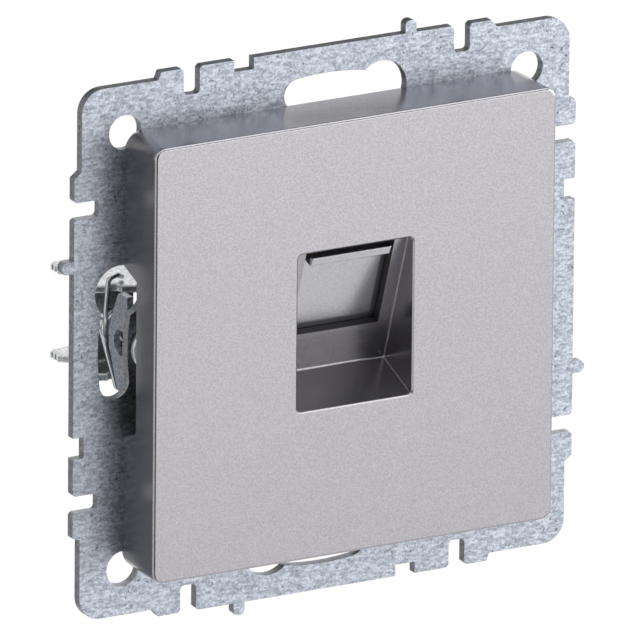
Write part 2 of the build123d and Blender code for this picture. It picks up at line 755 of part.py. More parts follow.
def terminal_block(side):
    """One of the two blocks into which the wires are punched down."""
    back = JACK_BACK - BOARD_THICKNESS
    x = side * block_centre()
    half = BLOCK_WIDTH / 2
    body = block(x - half, x + half, -BOARD_HEIGHT / 2, BOARD_HEIGHT / 2, back - BLOCK_LENGTH, back)
    for y in terminal_places():
        body -= block(
            x - half - 1,
            x + half + 1,
            y - TERMINAL_SLOT / 2,
            y + TERMINAL_SLOT / 2,
            back - BLOCK_LENGTH - 1,
            back - 0.45 * BLOCK_LENGTH,
        )
        body -= block(
            x - terminal_half_width() - 0.1,
            x + terminal_half_width() + 0.1,
            y - TERMINAL_SLOT / 2,
            y + TERMINAL_SLOT / 2,
            back - BLOCK_LENGTH,
            back + 1,
        )
    return in_port_frame(body)


def terminal_half_width():
    return 0.32 * BLOCK_WIDTH


def wire_terminals():
    """Eight forked blades, four in each block, with their pins in the board."""
    back = JACK_BACK - BOARD_THICKNESS
    blades = []
    for side in (-1, 1):
        x = side * block_centre()
        for y in terminal_places():
            half = terminal_half_width()
            thick = TERMINAL_THICKNESS / 2
            tip = back - 0.9 * BLOCK_LENGTH
            blade = block(x - half, x + half, y - thick, y + thick, tip, back - 0.4)
            blade -= block(x - 0.2, x + 0.2, y - 1, y + 1, tip - 1, tip + 0.45 * BLOCK_LENGTH)
            blade += block(x - 0.25, x + 0.25, y - thick, y + thick, back - 0.5, JACK_BACK - 0.1)
            blades.append(in_port_frame(blade))
    return Compound(children=blades)


def wire_cap(side):
    """Dust cap pressed over the end of one terminal block."""
    back = JACK_BACK - BOARD_THICKNESS - BLOCK_LENGTH
    x = side * block_centre()
    half = BLOCK_WIDTH / 2 + 0.1
    end = BOARD_HEIGHT / 2 + 0.1
    outer = block(
        x - half - CAP_WALL,
        x + half + CAP_WALL,
        -end - CAP_WALL,
        end + CAP_WALL,
        back - CAP_WALL - 0.1,
        back + CAP_LENGTH,
    )
    outer = chamfer(outer.faces().sort_by(Axis.Z)[0].edges(), 0.5)
    room = block(x - half, x + half, -end, end, back - 0.1, back + CAP_LENGTH + 1)
    cap = outer - room
    for y in terminal_places():
        cap -= block(
            x - half - 2,
            x + half + 2,
            y - TERMINAL_SLOT / 2,
            y + TERMINAL_SLOT / 2,
            back + 0.5 * CAP_LENGTH,
            back + CAP_LENGTH + 1,
        )
    return in_port_frame(cap)


def cheek_outline():
    """Seen from above, the left claw's flat side with its ear and toothed tip."""
    knee = (-CLAW_REACH, CLAW_KNEE_DEPTH)
    throat = (-PIVOT_PLACE - 1.0, PIVOT_DEPTH + 1.5)
    tip_front = CLAW_LENGTH - CLAW_TIP
    points = [
        throat,
        knee,
        (-CLAW_REACH + 0.6, CLAW_KNEE_DEPTH + 2.5),
        (-CLAW_REACH + 1.4, tip_front - 1.4),
    ]
    tooth = CLAW_TIP / CLAW_TEETH
    for i in range(CLAW_TEETH):
        points.append((-CLAW_REACH - 0.4, tip_front + i * tooth))
        points.append((-CLAW_REACH + 0.15, tip_front + (i + 0.7) * tooth))
    points += [
        (-CLAW_REACH + 2.6, CLAW_LENGTH),
        (-PIVOT_PLACE + 0.5, CLAW_LENGTH - 1.0),
        (-PIVOT_PLACE + CLAW_EAR_RADIUS, CLAW_WEB_DEPTH - 1.0),
        (-PIVOT_PLACE + CLAW_EAR_RADIUS, PIVOT_DEPTH),
    ]
    ear = Pos(-PIVOT_PLACE, PIVOT_DEPTH) * Circle(CLAW_EAR_RADIUS)
    notch = Pos(-CLAW_NOTCH_PLACE, CLAW_NOTCH_DEPTH) * Circle(CLAW_NOTCH_RADIUS)
    return make_face(Polyline(*points, close=True)) + ear - notch


def claw():
    """The left claw: two toothed cheeks joined by a web with a threaded collar."""
    outline = cheek_outline()
    inner = CLAW_INNER_HEIGHT / 2
    cheek = extrude(Pos(0, 0, inner) * outline, amount=CLAW_SHEET)
    cheek -= Pos(-PIVOT_PLACE, PIVOT_DEPTH, inner) * Cylinder(
        PIVOT_PIN_RADIUS + PIVOT_CLEARANCE, 4 * CLAW_SHEET
    )
    body = cheek + mirror(cheek, about=Plane.XY)
    web_left = -CLAW_REACH + 1.5
    web_right = -PIVOT_PLACE + 0.4
    body += block(web_left, web_right, CLAW_WEB_DEPTH, CLAW_WEB_DEPTH + CLAW_SHEET, -inner, inner)
    along = Rot(90, 0, 0)
    collar_depth = CLAW_WEB_DEPTH + (CLAW_SHEET + COLLAR_LENGTH) / 2
    body += Pos(-SCREW_PLACE, collar_depth, 0) * along * Cylinder(COLLAR_RADIUS, CLAW_SHEET + COLLAR_LENGTH)
    bore = SCREW_DIAMETER / 2 + 0.06
    body -= Pos(-SCREW_PLACE, collar_depth, 0) * along * Cylinder(bore, 3 * (CLAW_SHEET + COLLAR_LENGTH))
    return body


def claw_screw():
    """The left claw's screw: a round head with a cross, and its shank."""
    along = Rot(90, 0, 0)
    seat = PLATE_FRONT - SCREW_HEAD_GAP
    head = Pos(-SCREW_PLACE, seat - SCREW_HEAD_HEIGHT / 2, 0) * along * Cylinder(
        SCREW_HEAD_DIAMETER / 2, SCREW_HEAD_HEIGHT
    )
    head = chamfer(head.edges().sort_by(Axis.Y)[0], 0.6)
    shank_centre = seat + SCREW_LENGTH / 2
    shank = Pos(-SCREW_PLACE, shank_centre, 0) * along * Cylinder(SCREW_DIAMETER / 2, SCREW_LENGTH)
    shank = chamfer(shank.edges().sort_by(Axis.Y)[-1], 0.5)
    body = head + shank
    front = seat - SCREW_HEAD_HEIGHT
    for long_x, long_z in ((3.4, 0.7), (0.7, 3.4)):
        body -= block(
            -SCREW_PLACE - long_x / 2,
            -SCREW_PLACE + long_x / 2,
            front - 1,
            front + 1.2,
            -long_z / 2,
            long_z / 2,
        )
    return body


def claw_spring():
    """Return spring: a coil round the screw with one arm hooked over each cheek."""
    pitch = CLAW_WIRE + 0.03
    path = Helix(pitch=pitch, height=CLAW_COIL_TURNS * pitch, radius=CLAW_COIL_RADIUS)
    section = Plane(origin=path @ 0, z_dir=path % 0).location * RegularPolygon(
        CLAW_WIRE / 2, WIRE_SIDES
    )
    coil = sweep(section, path=path, is_frenet=True)
    coil = Pos(-SCREW_PLACE, CLAW_COIL_DEPTH, 0) * Rot(-90, 0, 0) * Rot(0, 0, 180) * coil
    left = -SCREW_PLACE - CLAW_COIL_RADIUS
    hook = CHEEK_OUTER + CLAW_WIRE / 2 + 0.05
    front = CLAW_COIL_DEPTH
    back = CLAW_COIL_DEPTH + CLAW_COIL_TURNS * pitch
    upper = FilletPolyline(
        (left, front, -0.3),
        (left - 0.6, front - 1.0, 3.0),
        (left - 0.5, front - 1.5, hook + 0.7),
        (left + 1.3, front - 0.4, hook + 0.7),
        (left + 2.5, front + 0.6, hook),
        radius=0.5,
    )
    low_x = -SCREW_PLACE - CLAW_COIL_RADIUS
    lower = FilletPolyline(
        (low_x, back, 0.0),
        (low_x + 0.3, back - 1.2, -3.0),
        (low_x + 0.6, front - 1.9, -hook - 0.6),
        (low_x + 1.9, front - 0.9, -hook - 0.4),
        radius=0.5,
    )
    wires = [coil]
    for line in (upper, lower):
        ring = Plane(origin=line @ 0, z_dir=line % 0).location * RegularPolygon(
            CLAW_WIRE / 2, WIRE_SIDES
        )
        wires.append(sweep(ring, path=line))
    return wires[0] + wires[1] + wires[2]


def write(name, shape):
    export_step(shape, f"parts/{name}.step")


os.makedirs("parts", exist_ok=True)

write("support_plate", support_plate())
write("cover", cover())
write("shutter", shutter())
write("shutter_guide", shutter_guide())
write("shutter_spring", shutter_spring())
write("carrier", carrier())
write("jack_housing", jack_housing())
write("contact_comb", contact_comb())
for number, place in enumerate(contact_places(), start=1):
    write(f"contact_{number}", contact(place))
write("circuit_board", circuit_board())
write("terminal_block_left", terminal_block(-1))
write("terminal_block_right", terminal_block(1))
write("wire_terminals", wire_terminals())
write("wire_cap_left", wire_cap(-1))
write("wire_cap_right", wire_cap(1))

left_claw_parts = {
    "claw": claw(),
    "claw_screw": claw_screw(),
    "claw_spring": claw_spring(),
}
for name, shape in left_claw_parts.items():
    write(f"{name}_left", shape)
    write(f"{name}_right", half_turn(shape))
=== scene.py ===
# %% [markdown]
# # A network wall socket
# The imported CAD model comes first, as a fixed frame in metres: X to the right, Y into
# the wall, Z up. Nothing in it is moved. This lesson gives each piece its finish and
# adds what is too fine for the CAD model, such as screw threads and rolled edges.

# %% Load the frame
from math import cos, pi, radians, sin

import bmesh
import bpy
from mathutils import Matrix, Vector


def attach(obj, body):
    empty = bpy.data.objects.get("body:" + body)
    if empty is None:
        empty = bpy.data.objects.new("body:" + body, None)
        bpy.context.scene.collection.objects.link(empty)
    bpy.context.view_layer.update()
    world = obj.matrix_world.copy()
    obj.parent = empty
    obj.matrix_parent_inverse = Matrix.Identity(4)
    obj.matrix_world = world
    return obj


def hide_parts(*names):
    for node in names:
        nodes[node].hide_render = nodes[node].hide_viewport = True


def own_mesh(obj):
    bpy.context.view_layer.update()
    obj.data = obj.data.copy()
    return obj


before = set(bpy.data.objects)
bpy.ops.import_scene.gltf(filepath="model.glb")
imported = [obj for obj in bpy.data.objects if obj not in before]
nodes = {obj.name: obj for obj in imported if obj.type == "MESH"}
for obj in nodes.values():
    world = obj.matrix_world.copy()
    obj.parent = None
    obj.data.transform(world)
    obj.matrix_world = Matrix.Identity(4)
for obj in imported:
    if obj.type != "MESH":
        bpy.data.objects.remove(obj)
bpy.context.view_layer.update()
MM = 0.001

# %% [markdown]
# ## Shader maths
# A finish is easiest to read when its maths looks like maths. One small class wraps a
# node socket and overloads the operators, so `grain * 0.2 + 0.4` adds its Math nodes.
# Every other node comes from one method that takes the node's type, its settings and
# its inputs. The floor and the sky at the end use the same method.

# %% The socket class
class Flow:
    """A socket whose value can be used in Python expressions."""

    def __init__(self, maker, socket):
        self.maker = maker
        self.socket = socket

    def _maths(self, operation, first, second):
        return self.maker.node("ShaderNodeMath", {"operation": operation}, {0: first, 1: second})

    def __add__(self, other):
        return self._maths("ADD", self, other)

    __radd__ = __add__

    def __sub__(self, other):
        return self._maths("SUBTRACT", self, other)

    def __rsub__(self, other):
        return self._maths("SUBTRACT", other, self)

    def __mul__(self, other):
        return self._maths("MULTIPLY", self, other)

    __rmul__ = __mul__

    def spread(self, low, high):
        """The value between low and high, stretched smoothly to 0 and 1."""
        return self.maker.node(
            "ShaderNodeMapRange",
            {"interpolation_type": "SMOOTHSTEP"},
            {"Value": self, "From Min": low, "From Max": high},
        )


# %% The node maker
class NodeMaker:
    """Adds nodes to one node tree."""

    def __init__(self, tree):
        self.tree = tree

    def node(self, kind, settings=None, inputs=None, output=0):
        made = self.tree.nodes.new(kind)
        for setting, value in (settings or {}).items():
            setattr(made, setting, value)
        for key, value in (inputs or {}).items():
            if isinstance(value, Flow):
                self.tree.links.new(value.socket, made.inputs[key])
            else:
                made.inputs[key].default_value = value
        return Flow(self, made.outputs[output])

    def rays(self, first, *others):
        """1 for a ray of any of these kinds, such as Camera, and 0 for any other ray."""
        seen = self.node("ShaderNodeLightPath", output=f"Is {first} Ray")
        for kind in others:
            ray = self.node("ShaderNodeLightPath", output=f"Is {kind} Ray")
            seen = self.node("ShaderNodeMath", {"operation": "MAXIMUM"}, {0: seen, 1: ray})
        return seen


# %% The finish: a material round one shader
class Finish(NodeMaker):
    """A material built around one Principled shader."""

    def __init__(self, name, **surface):
        self.material = bpy.data.materials.new(name)
        self.material.use_nodes = True
        super().__init__(self.material.node_tree)
        self.tree.nodes.clear()
        self.output = self.tree.nodes.new("ShaderNodeOutputMaterial")
        self.shader = self.tree.nodes.new("ShaderNodeBsdfPrincipled")
        self.tree.links.new(self.shader.outputs[0], self.output.inputs["Surface"])
        for socket, value in surface.items():
            self.shader.inputs[socket.replace("_", " ")].default_value = value

    def place(self, stretch):
        """Object coordinates in millimetres, stretched along the axes."""
        spot = self.node("ShaderNodeTexCoord", output="Object")
        scale = tuple(s / MM for s in stretch)
        return self.node("ShaderNodeMapping", {}, {"Vector": spot, "Scale": scale})

    def noise(self, scale, detail=2.0, stretch=(1, 1, 1), roughness=0.5):
        """Cloudy noise; scale is about how many clouds fit in a millimetre."""
        inputs = {
            "Vector": self.place(stretch),
            "Scale": scale,
            "Detail": detail,
            "Roughness": roughness,
        }
        return self.node("ShaderNodeTexNoise", {}, inputs)

    def blend(self, amount, first, second):
        """A colour between two colours, each a socket or its red, green and blue."""
        ends = [end if isinstance(end, Flow) else (*end, 1.0) for end in (first, second)]
        inputs = {0: amount, 6: ends[0], 7: ends[1]}
        return self.node("ShaderNodeMix", {"data_type": "RGBA"}, inputs, output=2)

    def feed(self, **sockets):
        for name, value in sockets.items():
            self.tree.links.new(value.socket, self.shader.inputs[name.replace("_", " ")])

    def bump(self, height, distance, strength):
        """Relief of the given depth in millimetres."""
        inputs = {"Height": height, "Distance": distance * MM, "Strength": strength}
        self.feed(Normal=self.node("ShaderNodeBump", {}, inputs))


# %% [markdown]
# ## Metallic paint
# The cover is grey plastic under a silvery, faintly lilac paint. Its flakes make a fine
# grain that is only just seen, and it mirrors its surroundings softly. A high Metallic
# with a low Roughness gives that soft mirror; a fine noise varies the colour and tilts
# the surface a little for the flakes.

# %% The paints
def metallic_paint(name, pale, deep, roughness):
    paint = Finish(name, Metallic=1.0)
    flakes = paint.noise(4.2, detail=3.0, roughness=0.7)
    clouds = paint.noise(0.25)
    paint.feed(
        Base_Color=paint.blend(flakes.spread(0.34, 0.66), deep, pale),
        Roughness=flakes * 0.08 + clouds * 0.04 + (roughness - 0.06),
    )
    paint.bump(flakes, distance=0.010, strength=0.4)
    return paint.material


cover_paint = metallic_paint(
    "cover_paint", pale=(0.532, 0.520, 0.553), deep=(0.437, 0.424, 0.452), roughness=0.25
)
shutter_paint = metallic_paint(
    "shutter_paint", pale=(0.68, 0.67, 0.70), deep=(0.58, 0.57, 0.60), roughness=0.20
)
print("paints:", cover_paint.name, "and", shutter_paint.name)

# %% [markdown]
# ## Galvanised sheet
# The support plate is rolled steel with a zinc skin: pale and bluish, with short streaks
# along the rolling direction, a fine grain and small dark specks. Noise stretched along
# one axis makes the streaks, and the peaks of another noise make the specks. Where the
# sheet was stamped out, its edge is bare steel, darker than the skin. The claws' rounded
# edges get a near-white metal instead, a painted highlight that draws bright lines round
# them. The screws and the spring wires are plated steel of the same kind, only smoother.

# %% The metals
ALONG_X, ALONG_Y, ALONG_Z = range(3)
STREAK_STRETCH = 0.45


def galvanised(name, pale, deep, roughness, streaks_run=ALONG_X, relief=0.02, metallic=1.0):
    zinc = Finish(name, Metallic=metallic)
    stretch = [1.0, 1.0, 1.0]
    stretch[streaks_run] = STREAK_STRETCH
    streaks = zinc.noise(2.6, detail=4.0, stretch=tuple(stretch), roughness=0.65)
    clouds = zinc.noise(0.35, detail=3.0)
    grain = zinc.noise(3.6)
    pits = zinc.noise(2.2, roughness=0.4)
    mottle = streaks.spread(0.36, 0.66) * 0.6 + grain.spread(0.34, 0.68) * 0.4
    specks = pits.spread(0.62, 0.72) * clouds.spread(0.40, 0.60) * 0.8
    speck_colour = tuple(0.35 * c for c in deep)
    zinc.feed(
        Base_Color=zinc.blend(specks, zinc.blend(mottle, deep, pale), speck_colour),
        Roughness=streaks * 0.14 + grain * 0.10 + (roughness - 0.12) + specks * 0.2,
    )
    zinc.bump(streaks + grain * 0.5, distance=relief, strength=0.45)
    return zinc.material


plate_zinc = galvanised(
    "plate_zinc", pale=(0.69, 0.735, 0.815), deep=(0.275, 0.30, 0.352), roughness=0.44
)
claw_zinc = galvanised(
    "claw_zinc",
    pale=(1.0, 1.0, 1.0),
    deep=(0.46, 0.47, 0.50),
    roughness=0.36,
    streaks_run=ALONG_Y,
    relief=0.08,
)
# A near-white, half-metallic colour for the claws' rounded rims: a painted highlight.
painted_highlight_rim = galvanised(
    "painted_highlight_rim", pale=(1.0, 1.0, 1.0), deep=(0.78, 0.79, 0.81), roughness=0.32, metallic=0.35
)
screw_zinc = galvanised(
    "screw_zinc",
    pale=(0.78, 0.80, 0.82),
    deep=(0.60, 0.62, 0.65),
    roughness=0.22,
    streaks_run=ALONG_Z,
)
wire_steel = galvanised(
    "wire_steel",
    pale=(0.72, 0.74, 0.78),
    deep=(0.52, 0.54, 0.58),
    roughness=0.22,
    streaks_run=ALONG_Z,
)
cut_steel = galvanised(
    "cut_steel",
    pale=(0.56, 0.57, 0.60),
    deep=(0.30, 0.31, 0.33),
    roughness=0.44,
    streaks_run=ALONG_Y,
)
metals = (plate_zinc, claw_zinc, painted_highlight_rim, screw_zinc, wire_steel, cut_steel)
print("metals:", [metal.name for metal in metals])

# %% [markdown]
# ## Plain plastics, gold and board
# The hidden pieces are moulded in plain plastic. A moulded surface isn't a flat colour:
# it has a fine spark-eroded grain and a slightly uneven sheen, so one maker gives that
# to each of them. The contacts' gold is worn unevenly, and the board shows its weave
# under a thin lacquer, for which the shader has its Coat.

# %% Moulded plastics
def moulded(name, colour, roughness):
    plastic = Finish(name, Specular_IOR_Level=0.45)
    grain = plastic.noise(3.0, detail=3.0, roughness=0.6)
    flow = plastic.noise(0.2, detail=1.0)
    pale = tuple(min(1.0, c * 1.08 + 0.004) for c in colour)
    deep = tuple(c * 0.90 for c in colour)
    plastic.feed(
        Base_Color=plastic.blend(grain * 0.5 + flow * 0.5, deep, pale),
        Roughness=grain * 0.12 + flow * 0.08 + (roughness - 0.10),
    )
    plastic.bump(grain, distance=0.01, strength=0.6)
    return plastic.material


dark_plastic = moulded("dark_plastic", (0.045, 0.045, 0.05), roughness=0.52)
# Near-black plastic for the wall round the port's window: painted shade, which the shutter also
# mirrors as a dark band.
painted_shade_plastic = moulded("painted_shade_plastic", (0.016, 0.016, 0.019), roughness=0.50)
jack_plastic = moulded("jack_plastic", (0.50, 0.50, 0.49), roughness=0.45)
pale_plastic = moulded("pale_plastic", (0.74, 0.73, 0.69), roughness=0.42)
cap_plastic = moulded("cap_plastic", (0.40, 0.41, 0.43), roughness=0.40)
plastics = (dark_plastic, painted_shade_plastic, jack_plastic, pale_plastic, cap_plastic)
print("plastics:", [plastic.name for plastic in plastics])


# %% Gold contacts and the circuit board
def gold_plating():
    gold = Finish("gold_plating", Metallic=1.0)
    wear = gold.noise(2.0, detail=3.0)
    gold.feed(
        Base_Color=gold.blend(wear.spread(0.35, 0.7), (0.80, 0.60, 0.26), (0.92, 0.75, 0.42)),
        Roughness=wear * 0.15 + 0.15,
    )
    return gold.material


def circuit_laminate():
    board = Finish("circuit_laminate", Coat_Weight=0.5, Coat_Roughness=0.1)
    weave = board.noise(2.0, stretch=(1.0, 1.0, 4.0))
    blotch = board.noise(0.4)
    green = board.blend(weave * 0.5 + blotch * 0.5, (0.015, 0.11, 0.045), (0.03, 0.20, 0.08))
    board.feed(Base_Color=green, Roughness=weave * 0.1 + 0.3)
    return board.material


contact_gold = gold_plating()
board_laminate = circuit_laminate()
print("also:", contact_gold.name, "and", board_laminate.name)

# %% [markdown]
# ## Dressing the CAD nodes
# Each node's shape is right as it is, so it keeps its mesh and gets its finish by its
# name. The pieces that get finer copies below pass their finish on to them.

# %% Finishes by piece
CONTACTS = 8

finishes = {
    "support_plate": plate_zinc,
    "cover": cover_paint,
    "shutter": shutter_paint,
    "shutter_guide": dark_plastic,
    "shutter_spring": wire_steel,
    "carrier": dark_plastic,
    "jack_housing": jack_plastic,
    "contact_comb": pale_plastic,
    "circuit_board": board_laminate,
    "wire_terminals": contact_gold,
}
for side in ("left", "right"):
    finishes[f"terminal_block_{side}"] = pale_plastic
    finishes[f"wire_cap_{side}"] = cap_plastic
    finishes[f"claw_{side}"] = claw_zinc
    finishes[f"claw_screw_{side}"] = screw_zinc
    finishes[f"claw_spring_{side}"] = wire_steel
for number in range(1, CONTACTS + 1):
    finishes[f"contact_{number}"] = contact_gold


def dress(piece, material):
    piece.data.materials.clear()
    piece.data.materials.append(material)


for name, material in finishes.items():
    dress(nodes[name], material)
print("dressed:", len(finishes), "of", len(nodes))

# %% [markdown]
# ## Finer copies
# A CAD node's mesh is loose triangles and is never changed. So a piece that needs finer
# work starts from a copy whose corners are merged, and the finished copy rides on the
# node's body and stands for the node.

# %% Copying a node and standing in for it
MERGE_DISTANCE = 0.000002


def merged(name):
    """A bmesh of the node with its loose triangles joined."""
    work = bmesh.new()
    work.from_mesh(nodes[name].data)
    bmesh.ops.remove_doubles(work, verts=work.verts, dist=MERGE_DISTANCE)
    return work


def built(work, name):
    """Makes the bmesh an object of the scene."""
    mesh = bpy.data.meshes.new(name)
    work.to_mesh(mesh)
    work.free()
    made = bpy.data.objects.new(name, mesh)
    bpy.context.scene.collection.objects.link(made)
    return made


def stand_in(work, name, body):
    """Makes the bmesh a piece that rides on the body and stands for the node."""
    piece = built(work, f"{name}_fine")
    piece.data.materials.append(finishes[name])
    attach(piece, body)
    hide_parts(name)
    return piece


# %% [markdown]
# ## Rolled edges
# A knife-sharp edge catches no light. Real stamped and moulded edges are slightly round,
# and their thin bright lines are what make the photograph look real. The copy's flat
# faces are joined again, and a Bevel modifier rounds every edge that is sharper than
# its limit. A copy can have a second finish: bare steel on the plate's cut edges, near-black
# painted shade on the wall of the port's window, and a near-white painted highlight on the
# claws' rims. The first two go on faces picked by where they are and how they face, the
# third on the faces that the bevel makes.

# %% The edge rounder
EDGE_LIMIT = 35.0
FLAT_LIMIT = 0.6
SECOND = 1


def softened(name, body, width, segments=2, clamp=True, second_finish=None, second_place=None):
    """Rounds the node's sharp edges; the second finish goes on them, or on its place."""
    work = merged(name)
    bmesh.ops.dissolve_limit(
        work,
        angle_limit=radians(FLAT_LIMIT),
        verts=work.verts,
        edges=work.edges,
        use_dissolve_boundaries=False,
    )
    for face in work.faces:
        face.smooth = True
        if second_place and second_place(face):
            face.material_index = SECOND
    piece = stand_in(work, name, body)
    bevel = piece.modifiers.new("rolled edge", "BEVEL")
    bevel.width = width * MM
    bevel.segments = segments
    bevel.limit_method = "ANGLE"
    bevel.angle_limit = radians(EDGE_LIMIT)
    bevel.use_clamp_overlap = clamp
    if second_finish:
        piece.data.materials.append(second_finish)
        if second_place is None:
            bevel.material = SECOND
    flat = piece.modifiers.new("flat faces", "WEIGHTED_NORMAL")
    flat.mode = "FACE_AREA"
    flat.weight = 100
    flat.thresh = 0.01
    seconds = sum(1 for face in piece.data.polygons if face.material_index)
    print(f"{name}: {len(piece.data.polygons)} faces, {seconds} in a second finish")


# %% Where the plate is bare steel
TONGUE_SIDES = (26.0 * MM, 27.6 * MM)
TONGUE_START = 0.3 * MM
TONGUE_REACH = 7.0 * MM


def stamped_edge(face):
    """The sheet's cut thickness, but not the flat sides of its two bent-back tongues."""
    spot = face.calc_center_median()
    beside_slot = TONGUE_SIDES[0] < abs(spot.x) < TONGUE_SIDES[1]
    on_tongue = beside_slot and spot.y > TONGUE_START and abs(spot.z) < TONGUE_REACH
    return abs(face.normal.y) < 0.5 and not (on_tongue and abs(face.normal.x) > 0.7)


# %% Where the cover gets painted shade
LEAN = radians(19.0)
PORT_CENTRE = Vector((0, -5.67, 5.32)) * MM
WINDOW_REACH = 7.2 * MM
WINDOW_DEPTHS = (0.1 * MM, 1.1 * MM)


def window_wall(face):
    """The wall's thickness round the port's window, which gets near-black painted shade."""
    outward = Vector((0, -cos(LEAN), -sin(LEAN)))
    spot = face.calc_center_median() - PORT_CENTRE
    inside = WINDOW_DEPTHS[0] < -spot.dot(outward) < WINDOW_DEPTHS[1]
    across = abs(face.normal.dot(outward)) < 0.2
    return across and inside and spot.length < WINDOW_REACH


# %% The softened pieces
softened("support_plate", "socket", 0.16, second_finish=cut_steel, second_place=stamped_edge)
softened("cover", "socket", 0.12, second_finish=painted_shade_plastic, second_place=window_wall)
softened("shutter", "shutter", 0.10)
# The claws' bevelled rims get the painted highlight.
softened("claw_left", "left_claw", 0.22, segments=3, clamp=False, second_finish=painted_highlight_rim)
softened("claw_right", "right_claw", 0.22, segments=3, clamp=False, second_finish=painted_highlight_rim)

# %% [markdown]
# ## Screw threads
# The CAD shank is a plain cylinder as thick as the thread's crests. The real one has a
# fine thread, which shows from behind. The head is kept and the shank is cut away; a
# thinner core takes its place, and a three-point profile spun with a small step along
# the axis winds the thread round it.

# %% The threaded screws
SCREW_PLACE = 24.2
HEAD_SEAT = -1.55
NECK = 0.1
SHANK_LENGTH = 18.0
BARE_TIP = 1.0
THREAD_START = 0.2
THREAD_PITCH = 0.6
THREAD_CREST = 1.44
THREAD_ROOT = 1.16
THREAD_STEPS = 24


def cut_shank(work):
    """Cuts the shank away just behind the head and closes the cut."""
    bmesh.ops.bisect_plane(
        work,
        geom=list(work.verts) + list(work.edges) + list(work.faces),
        plane_co=(0, (HEAD_SEAT + NECK) * MM, 0),
        plane_no=(0, 1, 0),
        clear_outer=True,
    )
    cut = [edge for edge in work.edges if edge.is_boundary]
    bmesh.ops.holes_fill(work, edges=cut, sides=0)


def threaded_screw(name, body, x):
    work = merged(name)
    cut_shank(work)
    middle = HEAD_SEAT + SHANK_LENGTH / 2
    turn = Matrix.Rotation(radians(90), 4, "X")
    bmesh.ops.create_cone(
        work,
        cap_ends=True,
        segments=THREAD_STEPS,
        radius1=THREAD_ROOT * MM,
        radius2=THREAD_ROOT * MM,
        depth=(SHANK_LENGTH - NECK) * MM,
        matrix=Matrix.Translation((x * MM, middle * MM, 0)) @ turn,
    )
    start = HEAD_SEAT + THREAD_START
    profile = [
        work.verts.new(((x + radius) * MM, (start + along * THREAD_PITCH) * MM, 0))
        for radius, along in ((THREAD_ROOT, 0.0), (THREAD_CREST, 0.5), (THREAD_ROOT, 1.0))
    ]
    edges = [work.edges.new(pair) for pair in zip(profile, profile[1:])]
    turns = int((SHANK_LENGTH - BARE_TIP) / THREAD_PITCH)
    bmesh.ops.spin(
        work,
        geom=profile + edges,
        cent=(x * MM, 0, 0),
        axis=(0, 1, 0),
        dvec=(0, THREAD_PITCH * MM / THREAD_STEPS, 0),
        angle=2 * pi * turns,
        steps=THREAD_STEPS * turns,
    )
    bmesh.ops.remove_doubles(work, verts=work.verts, dist=MERGE_DISTANCE)
    bmesh.ops.recalc_face_normals(work, faces=work.faces)
    piece = stand_in(work, name, body)
    print(f"{name}: {turns} turns of thread, {len(piece.data.polygons)} faces")


threaded_screw("claw_screw_left", "left_screw", -SCREW_PLACE)
threaded_screw("claw_screw_right", "right_screw", SCREW_PLACE)

# %% [markdown]
# ## Spring wire
# The CAD wires have few sides. Smooth shading over a merged copy makes them round, and
# the long highlight along a wire comes from that. The shutter's spring also gets a mesh
# of its own.

# %% Round wires
def round_wire(name, body):
    work = merged(name)
    for face in work.faces:
        face.smooth = True
    return stand_in(work, name, body)


round_wire("claw_spring_left", "left_claw")
round_wire("claw_spring_right", "right_claw")
shutter_wire = round_wire("shutter_spring", "socket")
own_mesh(shutter_wire)

# %% [markdown]
# ## Floor and background
# The object stands free against white, as in a catalogue. The floor is pale and lies
# well below it. The camera and the polished surfaces see the floor and the sky as
# white, and all other light finds plain paper and a softer sky. In the mirror of the
# cover the far part of the floor is a little brighter than the near part, which gives
# the flat front its soft fall of light.

# %% The pale floor
FLOOR_DEPTH = -0.40
FLOOR_SIZE = 8.0
FAR_PLACE = -1.44
NEAR_PLACE = -0.70
FAR_GLOW = 1.31
NEAR_GLOW = 0.77
GLOW_SHARE = 0.93


def flat_sheet(name, size, placement):
    work = bmesh.new()
    bmesh.ops.create_grid(work, x_segments=1, y_segments=1, size=0.5)
    bmesh.ops.scale(work, verts=work.verts, vec=(*size, 1))
    bmesh.ops.transform(work, verts=work.verts, matrix=placement)
    return built(work, name)


def floor_paper():
    """Pale paper that glows white for the camera, and by its distance for mirrors."""
    paper = Finish("floor_paper", Base_Color=(0.88, 0.88, 0.88, 1), Roughness=0.9)
    spot = paper.node("ShaderNodeTexCoord", output="Object")
    along = paper.node("ShaderNodeSeparateXYZ", {}, {0: spot}, output="Y")
    nearness = (along.spread(FAR_PLACE, NEAR_PLACE) - 0.5) * paper.rays("Glossy") + 0.5
    far_glow = paper.node("ShaderNodeEmission", {}, {"Strength": FAR_GLOW})
    near_glow = paper.node("ShaderNodeEmission", {}, {"Strength": NEAR_GLOW})
    glow = paper.node("ShaderNodeMixShader", {}, {0: nearness, 1: far_glow, 2: near_glow})
    glowing = paper.rays("Camera", "Glossy", "Transmission") * GLOW_SHARE
    plain = Flow(paper, paper.shader.outputs[0])
    surface = paper.node("ShaderNodeMixShader", {}, {0: glowing, 1: plain, 2: glow})
    paper.tree.links.new(surface.socket, paper.output.inputs["Surface"])
    return paper.material


floor = flat_sheet("floor", (FLOOR_SIZE, FLOOR_SIZE), Matrix.Translation((0, 0, FLOOR_DEPTH)))
dress(floor, floor_paper())
print("floor at", FLOOR_DEPTH)

# %% The sky: white to the camera and to mirrors, a soft grey to everything else
SKY_LIGHT = 0.7


def studio_sky():
    world = bpy.data.worlds.new("studio")
    world.use_nodes = True
    sky = world.node_tree.nodes["Background"]
    sky.inputs["Color"].default_value = (1, 1, 1, 1)
    seen = NodeMaker(world.node_tree).rays("Camera", "Glossy", "Transmission")
    strength = seen * (1.0 - SKY_LIGHT) + SKY_LIGHT
    world.node_tree.links.new(strength.socket, sky.inputs["Strength"])
    return world


